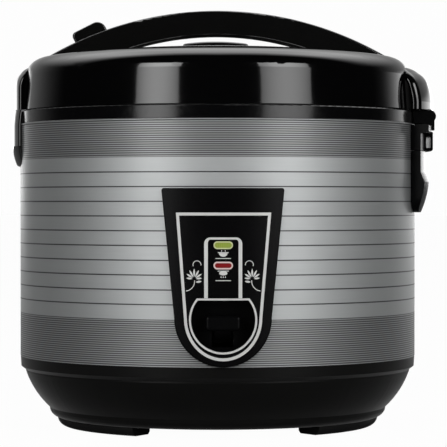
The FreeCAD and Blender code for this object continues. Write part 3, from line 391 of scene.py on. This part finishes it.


# The rim colour is partly thinner tint and partly a painted highlight on the rim.
def tinted_lens(name, centre_z, middle, rim, rim_mm):
    finish = Finish(name, ior=PLASTIC_IOR, coat_weight=0.5, coat_roughness=0.08)
    x, _, z = finish.place()
    along = ((x - AXIS_X).math("ABSOLUTE") - LENS_HALF).math("MAXIMUM", 0.0)
    up = z - centre_z
    inside = LENS_R - (along * along + up * up).math("SQRT")
    ribs = x.waves(RIB_PITCH)
    depth = ribs * 0.4 + finish.noise(2.5) * 0.3
    colour = finish.blend(depth, middle, shade(middle, 0.62))
    finish.set(
        base_color=finish.blend(inside.below(rim_mm, 0.18), colour, rim),
        roughness=ribs * 0.08 + 0.12,
    )
    return finish.bumps(ribs, 0.02)


green_lens = tinted_lens("green_lens", WARM_Z, (0.33, 0.42, 0.07, 1), (0.58, 0.62, 0.34, 1), 0.75)
red_lens = tinted_lens("red_lens", COOK_Z, (0.25, 0.012, 0.014, 1), (0.70, 0.56, 0.54, 1), 0.85)
print("lenses tinted")

# %% [markdown]
# ## Every piece gets its finish
# The record says which finish each piece takes, by the name of a slot. One loop is enough, and a
# missing finish would stop it, so no piece is left in a plain colour. A few black pieces are duller
# or glossier than others of the same slot, and a second list names those.

# %% Which finish goes where
finishes = {
    "printed_steel": body_print, "black_satin": black_satin, "black_gloss": black_gloss,
    "black_foot": black_foot, "zinc_steel": zinc_steel, "brass_pin": brass_pin,
    "bare_aluminium": bare_aluminium, "cast_aluminium": cast_aluminium,
    "pot_aluminium": pot_aluminium, "mica_band": mica_band, "ferrite": ferrite,
    "brown_phenolic": brown_phenolic, "white_ceramic": white_ceramic,
    "green_lens": green_lens, "red_lens": red_lens, "lamp_glass": lamp_glass,
    "silicone": silicone,
}
own_finish = {
    "control_panel": black_film, "cook_paddle": black_film, "hinge_block": black_film,
    "dew_collector": black_film, "collar_ring": black_collar, "handle_cover": black_handle,
    "release_button": black_handle, "handle_underside": black_grip,
}
print(len(finishes), "slots and", len(own_finish), "pieces with a finish of their own")

# %% Hand out the finishes
for entry in frame["record"]["subparts"]:
    piece = nodes[entry["node"]]
    finish = own_finish.get(entry["node"], finishes[entry["material_slot"]])
    piece.data.materials.clear()
    piece.data.materials.append(finish.material)
    even = piece.modifiers.new("even_shading", "WEIGHTED_NORMAL")
    even.mode = "FACE_AREA_WITH_ANGLE"

# %% [markdown]
# ## The sensor spring
# Under the pot a coil spring holds the heat sensor up. Its foot stands still while its top goes
# down with the sensor. A copy of the coil, with a mesh of its own, takes its place on the cooker.


def add_object(name, data):
    """Put a mesh, a lamp or a camera into the scene."""
    made = bpy.data.objects.new(name, data)
    bpy.context.scene.collection.objects.link(made)
    return made


spring_coil = add_object("spring_coil", nodes["sensor_spring"].data.copy())
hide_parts("sensor_spring")
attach(spring_coil, "cooker")
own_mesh(spring_coil)

# %% [markdown]
# ## Ink on the panel
# The white lines are printed on the panel's curved face. Each is drawn flat, as a path with a
# width, and then laid on the curve as a very thin ribbon of mesh. Real geometry keeps such thin
# lines sharp from near and far, where a painted texture would blur.

# %% Paths and ribbons
PATH_STEP = 1.5
SHARPEST_JOINT = 0.3


def curve_points(centre, across, up, start, end, count):
    """Points along a round or oval arc, its angles in degrees."""
    steps = [math.radians(start + (end - start) * i / count) for i in range(count + 1)]
    return [(centre[0] + across * math.cos(a), centre[1] + up * math.sin(a)) for a in steps]


def finely(path, closed):
    """The same path with points close enough to follow the curved face."""
    fine = []
    ends = path[1:] + path[:1] if closed else path[1:]
    for (ax, ay), (bx, by) in zip(path, ends):
        count = max(1, round(math.dist((ax, ay), (bx, by)) / PATH_STEP))
        for i in range(count):
            fine.append((ax + (bx - ax) * i / count, ay + (by - ay) * i / count))
    return fine if closed else fine + path[-1:]


def add_ribbon(mesh, path, width, closed=False):
    """Lay a line of ink of even width along a path."""
    path = [Vector(point) for point in finely(path, closed)]
    count = len(path)
    sides = []
    for i, here in enumerate(path):
        before = path[i - 1] if closed or i else here
        after = path[(i + 1) % count] if closed or i < count - 1 else here
        ways = [way.normalized() for way in (here - before, after - here) if way.length]
        along = sum(ways, Vector((0, 0))).normalized()
        reach = width / 2 / max(SHARPEST_JOINT, along.dot(ways[0]))
        aside = Vector((-along.y, along.x)) * reach
        sides.append([mesh.verts.new(on_panel(*edge)) for edge in (here + aside, here - aside)])
    for i in range(count if closed else count - 1):
        (a, b), (c, d) = sides[i], sides[(i + 1) % count]
        mesh.faces.new((a, b, d, c))


print("ink can follow a path")


# %% Filled shapes
def add_band(mesh, outer, inner):
    """Fill the strip between two paths that have the same number of points."""
    edges = [[mesh.verts.new(on_panel(*p)) for p in path] for path in (outer, inner)]
    rungs = list(zip(*edges))
    for (a, b), (c, d) in zip(rungs, rungs[1:]):
        mesh.faces.new((a, b, d, c))


def add_patch(mesh, outline):
    """Fill a small rounded shape with ink."""
    middle = [sum(p[k] for p in outline) / len(outline) for k in (0, 1)]
    hub = mesh.verts.new(on_panel(*middle))
    rim = [mesh.verts.new(on_panel(*p)) for p in outline]
    for i in range(len(rim)):
        mesh.faces.new((hub, rim[i], rim[(i + 1) % len(rim)]))


def as_piece(name, mesh, material):
    """Turn the drawn ink into an object that rides on the cooker."""
    bmesh.ops.recalc_face_normals(mesh, faces=mesh.faces)
    if sum(f.normal.y * f.calc_area() for f in mesh.faces) > 0:
        bmesh.ops.reverse_faces(mesh, faces=mesh.faces)
    data = bpy.data.meshes.new(name)
    mesh.to_mesh(data)
    mesh.free()
    data.materials.append(material)
    piece = add_object(name, data)
    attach(piece, "cooker")
    print(name, len(data.polygons), "faces")


white_ink = satin_plastic("white_ink", (0.52, 0.52, 0.51, 1), 0.3, 0.4).material
print("ink mixed:", white_ink.name)

# %% [markdown]
# ## The frame lines
# Three lines divide the panel: a tall U that follows the panel's own outline, an arch round the two
# lamps, and a D round the lever's recess. All three are simple arcs and straights.

# %% Outline, lamp arch and recess line
U_TOP, U_LEFT, U_RIGHT, U_INK = 136.85, -27.2, 27.8, 1.75
U_BOWL, U_ACROSS, U_DEEP = (0, 74.6), 22.5, 24.55
ARCH_FOOT, ARCH_BEND = 86.7, (7.7, 119.3)
ARCH_OUTSIDE, ARCH_INSIDE = (11.35, 122.95), (9.15, 121.65)
D_CENTRE, D_RADIUS, D_FLAT, D_INK = (0, 73.6), 19.8, 12.4, 1.2


def arch_edge(reach, top):
    """One edge of the arch: up a leg, round both bends and down the other leg."""
    bend_x, bend_z = ARCH_BEND
    across, up = reach - bend_x, top - bend_z
    left = curve_points((-bend_x, bend_z), across, up, 180, 90, 6)
    right = curve_points(ARCH_BEND, across, up, 90, 0, 6)
    bar = [(x, top) for x in (-5, -2.5, 0, 2.5, 5)]
    return [(-reach, ARCH_FOOT)] + left + bar + right + [(reach, ARCH_FOOT)]


lines = bmesh.new()
tall_u = [(U_LEFT, U_TOP), (U_RIGHT, U_TOP)]
tall_u += curve_points(U_BOWL, U_ACROSS, U_DEEP, 0, -180, 28)
add_ribbon(lines, tall_u, U_INK, closed=True)
add_band(lines, arch_edge(*ARCH_OUTSIDE), arch_edge(*ARCH_INSIDE))
cut = math.degrees(math.asin(D_FLAT / D_RADIUS))
recess_d = curve_points(D_CENTRE, D_RADIUS, D_RADIUS, cut, -180 - cut, 40)
add_ribbon(lines, recess_d, D_INK, closed=True)
as_piece("panel_lines", lines, white_ink)

# %% [markdown]
# ## Small marks
# Under each lamp a little picture says what it means: a bowl with steam for keeping warm and a
# flame under a pot for cooking. Such pictures are patches and short lines, so the ribbons and
# patches from above are all that they need.

# %% Bowl and flame
FINE_INK, STEAM_INK, RIM_INK = 0.45, 0.35, 0.5
BOWL_Z, BOWL_RIM_Z, STEAM_Z, BOWL_RULE_Z = 113.6, 113.9, 114.5, 110.4
POT_Z, POT_RIM_Z, FLAME_Z, POT_RULE_Z = 101.6, 102.9, 98.9, 97.2
RULE_HALF = 4.6


def add_rule(mesh, half, height, width):
    """A short level line, centred on the panel."""
    add_ribbon(mesh, [(-half, height), (half, height)], width)


marks = bmesh.new()
add_patch(marks, curve_points((0, BOWL_Z), 2.6, 2.2, 180, 360, 12))
add_rule(marks, 3.2, BOWL_RIM_Z, RIM_INK)
for x in (-1.1, 1.1):
    wisp = [(x, STEAM_Z), (x + 0.3, STEAM_Z + 0.4), (x - 0.1, STEAM_Z + 0.8)]
    add_ribbon(marks, wisp, STEAM_INK)
add_rule(marks, RULE_HALF, BOWL_RULE_Z, FINE_INK)
add_patch(marks, curve_points((0, POT_Z), 2.5, 1.3, 0, 360, 14))
add_rule(marks, 3.3, POT_RIM_Z, FINE_INK)
for x in (-1.3, 0, 1.3):
    flame = [(-0.35, 0), (0.35, 0), (0.2, 0.7), (0, 1.1), (-0.2, 0.7)]
    add_patch(marks, [(x + across, FLAME_Z + up) for across, up in flame])
add_rule(marks, RULE_HALF, POT_RULE_Z, FINE_INK)
print("two pictures,", len(marks.faces), "faces")

# %% [markdown]
# ## The lotus
# On both sides of the lamps stands a lotus, an old and common ornament for the table: a fan of
# petals, one leaf, a stem and a curled tendril. Petals and leaf are the same pointed shape, swollen
# by a sine from root to tip, so one function grows them all.

# %% Petals, leaf, stem and tendril
HEART, HEART_R, PETAL_LEANS = (17.3, 98.2), 1.1, range(-84, 85, 28)
LEAF_ROOT, LEAF_LEAN = (16.4, 96.3), 82
TENDRIL, STEM = (15.6, 106.7), (22.6, 96.9)


def leaning(degrees):
    """A step of length one, leaning so many degrees from upright."""
    turn = math.radians(degrees)
    return Vector((math.sin(turn), math.cos(turn)))


def add_leaf(mesh, root, lean, length, width):
    """A pointed petal or leaf that grows from its root."""
    along = leaning(lean)
    aside = Vector((along.y, -along.x))
    up = [i / 6 for i in range(7)]
    edge = [(u, 1) for u in up] + [(u, -1) for u in reversed(up[1:-1])]
    swell = [(u, side * width / 2 * math.sin(math.pi * u) ** 0.8) for u, side in edge]
    add_patch(mesh, [tuple(root + along * length * u + aside * w) for u, w in swell])


def add_lotus(mesh, side):
    """A fan of petals with a curled tendril above it, and a leaf and the stem below."""
    heart = Vector((side * HEART[0], HEART[1]))
    for lean in PETAL_LEANS:
        way = leaning(lean)
        add_leaf(mesh, heart + way * HEART_R, lean, 3.4 + 1.7 * way.y, 1.1)
    add_leaf(mesh, Vector((side * LEAF_ROOT[0], LEAF_ROOT[1])), -side * LEAF_LEAN, 3.6, 1.3)
    curl = curve_points((side * TENDRIL[0], TENDRIL[1]), side * 2.4, 2.3, -22, 190, 12)
    stalk = curve_points((side * STEM[0], STEM[1]), -side * 5.6, 5.9, 4, -86, 12)
    for path in (curl, stalk):
        add_ribbon(mesh, path, FINE_INK)


add_lotus(marks, -1)
add_lotus(marks, 1)
as_piece("panel_marks", marks, white_ink)

# %% [markdown]
# ## The floor
# The cooker stands on a pale floor that runs out into white. To the camera the floor is nearly all
# glow, so that it meets the white ground without an edge, and the small rest shows the soft shadow
# under the feet. All other light finds a plain grey floor.

# %% Floor
FLOOR_HALF, FLOOR_GLOW = 30.0, 0.975


def grey(level):
    return (level, level, level, 1.0)


floor_finish = Finish("pale_floor", roughness=0.7)
seen = floor_finish.light_path("Camera")
pale = floor_finish.noise(120) * 0.04 + 0.82
floor_finish.set(base_color=floor_finish.blend(seen, grey(0.3), pale))
plain = Amount(floor_finish, floor_finish.shader.outputs[0])
glow = floor_finish.node("ShaderNodeEmission", None, {0: grey(1.0), 1: 1.0})
both = floor_finish.node("ShaderNodeMixShader", None, {0: seen * FLOOR_GLOW, 1: plain, 2: glow})
floor_finish.feed(floor_finish.tree.nodes["Material Output"].inputs[0], both)

signs = ((-1, -1), (1, -1), (1, 1), (-1, 1))
floor_mesh = bpy.data.meshes.new("floor")
floor_mesh.from_pydata([(x * FLOOR_HALF, y * FLOOR_HALF, 0) for x, y in signs], [], [(0, 1, 2, 3)])
floor_mesh.materials.append(floor_finish.material)
floor = add_object("floor", floor_mesh)
print("floor laid")

# %% [markdown]
# ## The room in the reflections
# Black plastic shows its surroundings, so they matter more than the strength of the lamps. The room
# behind the camera is dark. A pale wall stands behind the cooker, bright cloth hangs over it, and
# low lights at both sides draw the edges of the steel. Each is a range of directions with soft
# borders, and every border is given by where it lies and how soft it is.

# %% The parts of the room, by direction
WALL_FROM = (0.55, 0.35)
LOW_TO = (0.12, 0.07)
RIGHT_FROM, RIGHT_BACK = (0.35, 0.2), (0.6, 0.25)
FLANK_FROM, FLANK_BACK = (0.2, 0.1), (0.9, 0.08)
CLOTH_FROM, CLOTH_UP, CLOTH_TAPER = (-0.06, 0.22), (0.75, 0.45), 0.3
WINGS_FROM = (0.35, 0.15)

world = bpy.data.worlds.new("studio")
bpy.context.scene.world = world
world.use_nodes = True
air = Recipe(world.node_tree)
across, back, up = air.split(air.node("ShaderNodeTexCoord", out="Generated"))
sideways = across.math("ABSOLUTE")
low = up.below(*LOW_TO)
wall = back.above(*WALL_FROM)
right = across.above(*RIGHT_FROM) * back.above(*RIGHT_BACK) * low
flanks = sideways.above(*FLANK_FROM) * back.above(*FLANK_BACK) * low
cloth = (back - sideways * CLOTH_TAPER).above(*CLOTH_FROM) * up.above(*CLOTH_UP)
wings = sideways.above(*WINGS_FROM)
print("wall, right light, flanks and cloth have their places")

# %% [markdown]
# ## The white ground
# The camera, and light that passes through glass, see one even white. Mirrored light sees the room,
# so its lights shape the highlights and put no extra light on the dull surfaces.

# %% World
WHITE_GROUND, ROOM_LIGHT = 0.985, 0.012
WALL_LIGHT, FLANK_LIGHT, RIGHT_LIGHT = 0.4, 4.5, 2.0
CLOTH_LIGHT, WINGS_LIGHT = 3.5, 2.2

sides = flanks * FLANK_LIGHT + right * RIGHT_LIGHT
room = wall * WALL_LIGHT + sides + cloth * (wings * WINGS_LIGHT + CLOTH_LIGHT)
mirrored = air.light_path("Glossy") * room + ROOM_LIGHT
white = air.light_path("Camera", "Transmission") * WHITE_GROUND
backdrop = air.tree.nodes["Background"]
air.feed(backdrop.inputs[0], grey(1.0))
air.feed(backdrop.inputs[1], white.math("MAXIMUM", mirrored))
print("the ground is white behind the cooker and dark behind the camera")

# %% [markdown]
# ## Soft boxes
# Two tall soft boxes left and right of the camera make the two upright highlights on the lid, and a
# wide one above and behind the cooker lights the crown. Real cloth is brightest in front of its
# lamp, so each box fades to its sides and has a brighter part near the top.

# %% Three lamps behind cloth
HOT_MIDDLE = 1.25
TOP_FROM, TOP_GAIN = (0.62, 0.1), 0.5
LAMP_TARGET = Vector((0, 0, 0.15))


def turn_to(thing, target):
    """Point a lamp or a camera, which both look along their own -Z, at a target."""
    thing.rotation_euler = (target - thing.location).to_track_quat("-Z", "Y").to_euler()


def fade(data):
    """Make a lamp's cloth brightest along its middle and near its top."""
    data.use_nodes = True
    sheet = Recipe(data.node_tree)
    wide_at, high_at, _ = sheet.split(sheet.node("ShaderNodeNewGeometry", out="Parametric"))
    from_middle = (wide_at - 0.5) * 2
    level = HOT_MIDDLE - from_middle * from_middle * (3 * (HOT_MIDDLE - 1))
    strength = level * (high_at.above(*TOP_FROM) * TOP_GAIN + 1)
    sheet.feed(sheet.tree.nodes["Emission"].inputs["Strength"], strength)


def soft_box(name, bearing, height, distance, wide, tall, power):
    """A rectangular lamp, placed by its bearing from the camera's side, that faces the cooker."""
    data = bpy.data.lights.new(name, "AREA")
    data.shape = "RECTANGLE"
    data.size, data.size_y, data.energy = wide, tall, power
    fade(data)
    lamp = add_object(name, data)
    a = math.radians(bearing)
    lamp.location = (math.sin(a) * distance, -math.cos(a) * distance, height)
    turn_to(lamp, LAMP_TARGET)


soft_box("left_box", -35.5, 0.55, 1.5, 0.66, 1.0, 9.9)
soft_box("right_box", 37.5, 0.55, 1.5, 0.8, 1.0, 10.4)
soft_box("top_box", 180, 1.9, 0.75, 3.3, 1.25, 4)
print(len(bpy.data.lights), "soft boxes")

# %% [markdown]
# ## The camera
# The photograph was taken with a long lens from the height of the body's middle, so upright edges
# stay upright and the lid is seen edge on.

# %% Camera
CAMERA_AWAY, CAMERA_TURN, CAMERA_Z = 1.5, math.radians(-1.6), 0.143
CAMERA_TARGET = Vector((0.0003, 0, 0.1301))

camera_data = bpy.data.cameras.new("camera")
camera_data.lens = 185.3
camera_data.sensor_width = 36.0
camera = add_object("camera", camera_data)
sine, cosine = math.sin(CAMERA_TURN), math.cos(CAMERA_TURN)
camera.location = (sine * CAMERA_AWAY, -cosine * CAMERA_AWAY, CAMERA_Z)
turn_to(camera, CAMERA_TARGET)
bpy.context.scene.camera = camera
bpy.context.scene.view_settings.view_transform = "Standard"
print("camera", [round(c, 3) for c in camera.location])
